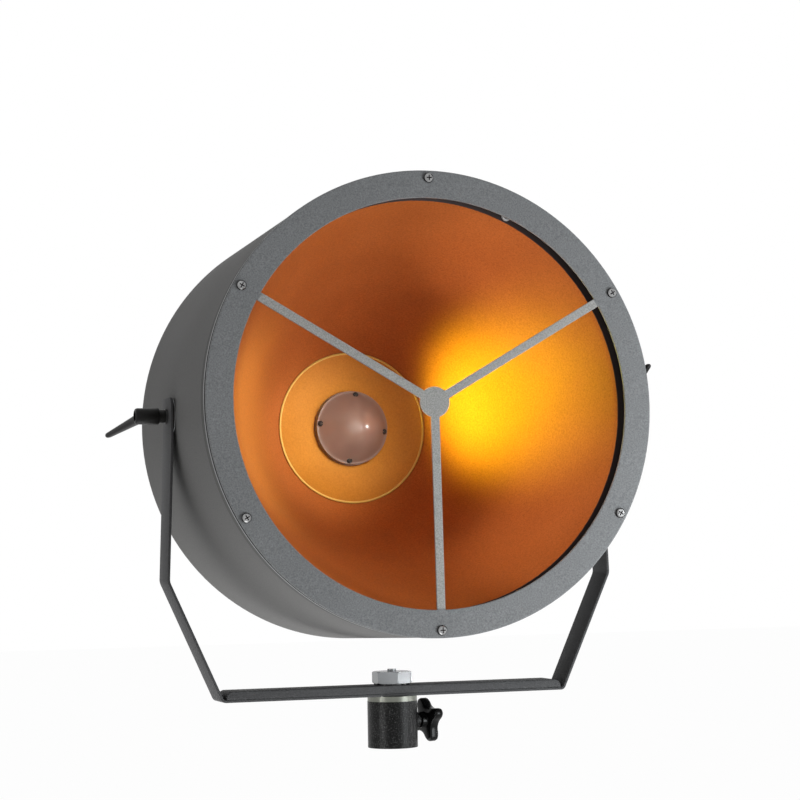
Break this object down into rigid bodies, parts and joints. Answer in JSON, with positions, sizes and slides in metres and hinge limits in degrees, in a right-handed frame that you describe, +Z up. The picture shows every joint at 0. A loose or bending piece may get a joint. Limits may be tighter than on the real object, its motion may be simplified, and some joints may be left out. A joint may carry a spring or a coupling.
{
  "type": "drum floodlight",
  "caption": "Drum-shaped floodlight with a deep amber reflector, three-spoke front guard and domed lamp, tilting in a bent-strip yoke that swivels on a stand socket.",
  "frame": {"origin": "centre of the stand socket's mouth, on the pan axis", "axes": "+Z up along the socket, -Y the way the lamp faces, +X along the tilt axis to the viewer's right"},
  "size_m": [0.4682, 0.2634, 0.4737],
  "materials": {
    "drum_paint": "satin dark grey powder coat",
    "ring_paint": "satin mid grey powder coat",
    "yoke_paint": "satin charcoal powder coat",
    "socket_paint": "semi-gloss black paint",
    "amber_aluminium": "satin amber anodised sheet",
    "steel": "zinc plated",
    "post_aluminium": "turned, matt",
    "friction_disc": "matt fibre",
    "black_plastic": "fine texture",
    "board": "white solder mask",
    "emitter": "phosphor",
    "lens": "smoked translucent",
    "pad_brass": "turned",
    "lead_cover": "matt"
  },
  "bodies": {
    "stand_mount": {"socket_tube": "socket_paint", "socket_plug": "steel", "clamp_boss": "socket_paint", "bearing_washer": "steel", "lock_washer": "steel", "swivel_bolt": "steel"},
    "clamp_pad": {"pressure_pad": "pad_brass"},
    "clamp_knob": {"star_knob": "black_plastic", "clamp_screw": "steel"},
    "yoke": {"yoke_strip": "yoke_paint", "stiffener_bar": "yoke_paint", "lever_washers": "steel"},
    "head": {"drum_shell": "drum_paint", "front_hoop": "drum_paint", "front_ring": "ring_paint", "ring_screws": "steel", "back_cover": "drum_paint", "cover_screws": "steel", "reflector_dish": "amber_aluminium", "reflector_lugs": "steel", "reflector_screws": "steel", "inner_bowl": "amber_aluminium", "heat_sink": "post_aluminium", "post_screws": "steel", "led_board": "board", "led_chip": "emitter", "dome_lens": "lens", "dome_screws": "steel", "driver_box": "post_aluminium", "driver_screws": "steel", "power_inlet": "black_plastic", "inlet_pins": "steel", "inlet_screws": "steel", "switch_housing": "black_plastic", "wiring": "lead_cover", "pivot_boss_left": "steel", "pivot_boss_right": "steel", "pivot_doublers": "steel", "friction_washers": "friction_disc"},
    "lever_left": {"lever_insert_left": "steel", "lever_spring_left": "steel", "lever_screw_left": "steel"},
    "handle_left": {"lever_handle_left": "black_plastic"},
    "lever_right": {"lever_insert_right": "steel", "lever_spring_right": "steel", "lever_screw_right": "steel"},
    "handle_right": {"lever_handle_right": "black_plastic"},
    "rocker": {"switch_rocker": "black_plastic"}
  },
  "joints": [
    {"name": "pan", "type": "hinge", "parent": "stand_mount", "child": "yoke", "pos_m": [0, 0, 0.0435], "axis": [0, 0, 1], "continuous": true},
    {"name": "tilt", "type": "hinge", "parent": "yoke", "child": "head", "pos_m": [0, 0, 0.2805], "axis": [1, 0, 0], "range_deg": [-22, 26]},
    {"name": "lever_left_turn", "type": "hinge", "parent": "head", "child": "lever_left", "pos_m": [0, 0, 0.2805], "axis": [1, 0, 0], "range_deg": [-180, 0]},
    {"name": "lever_left_lift", "type": "slide", "parent": "lever_left", "child": "handle_left", "axis": [-1, 0, 0], "range_m": [0, 0.004], "stiffness_N_per_m": 800, "springref_m": -0.005},
    {"name": "lever_right_turn", "type": "hinge", "parent": "head", "child": "lever_right", "pos_m": [0, 0, 0.2805], "axis": [-1, 0, 0], "range_deg": [-180, 0]},
    {"name": "lever_right_lift", "type": "slide", "parent": "lever_right", "child": "handle_right", "axis": [1, 0, 0], "range_m": [0, 0.004], "stiffness_N_per_m": 800, "springref_m": -0.005},
    {"name": "clamp_feed", "type": "slide", "parent": "stand_mount", "child": "clamp_pad", "axis": [-0.9613, -0.2756, 0], "range_m": [0, 0.0025]},
    {"name": "clamp_turn", "type": "hinge", "parent": "clamp_pad", "child": "clamp_knob", "pos_m": [0, 0, 0.021], "axis": [-0.9613, -0.2756, 0], "range_deg": [0, 720]},
    {"name": "rocker", "type": "hinge", "parent": "head", "child": "rocker", "pos_m": [0.036, 0.12009, 0.14923], "axis": [1, 0, 0], "range_deg": [0, 18]}
  ],
  "couplings": [
    {"joint": "clamp_feed", "follows": "clamp_turn", "m_per_rad": 0.00019894}
  ]
}
